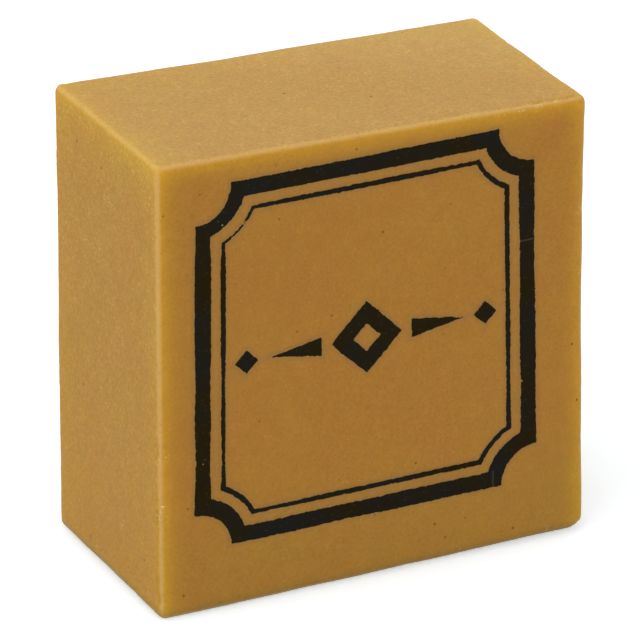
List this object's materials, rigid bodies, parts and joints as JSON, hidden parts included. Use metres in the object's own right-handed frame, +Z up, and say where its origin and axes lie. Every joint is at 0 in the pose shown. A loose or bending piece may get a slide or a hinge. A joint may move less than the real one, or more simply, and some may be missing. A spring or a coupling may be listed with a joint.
{
  "type": "gum eraser",
  "caption": "Square block of crumbly tan gum with softly worn edges, standing on a narrow side, with a dark border and ornament stamped into its front face.",
  "frame": {"origin": "under the middle of the block, on its foot", "axes": "+X right along the printed front face, which looks along -Y; +Z up"},
  "size_m": [0.0254, 0.0132, 0.0261],
  "materials": {
    "gum": "matte, slightly translucent tan gum with a fine crumbly grain",
    "ink": "matte dark ink, stamped, with slightly ragged edges"
  },
  "bodies": {
    "root": {"gum_block": "gum", "face_print": "ink"}
  },
  "joints": []
}
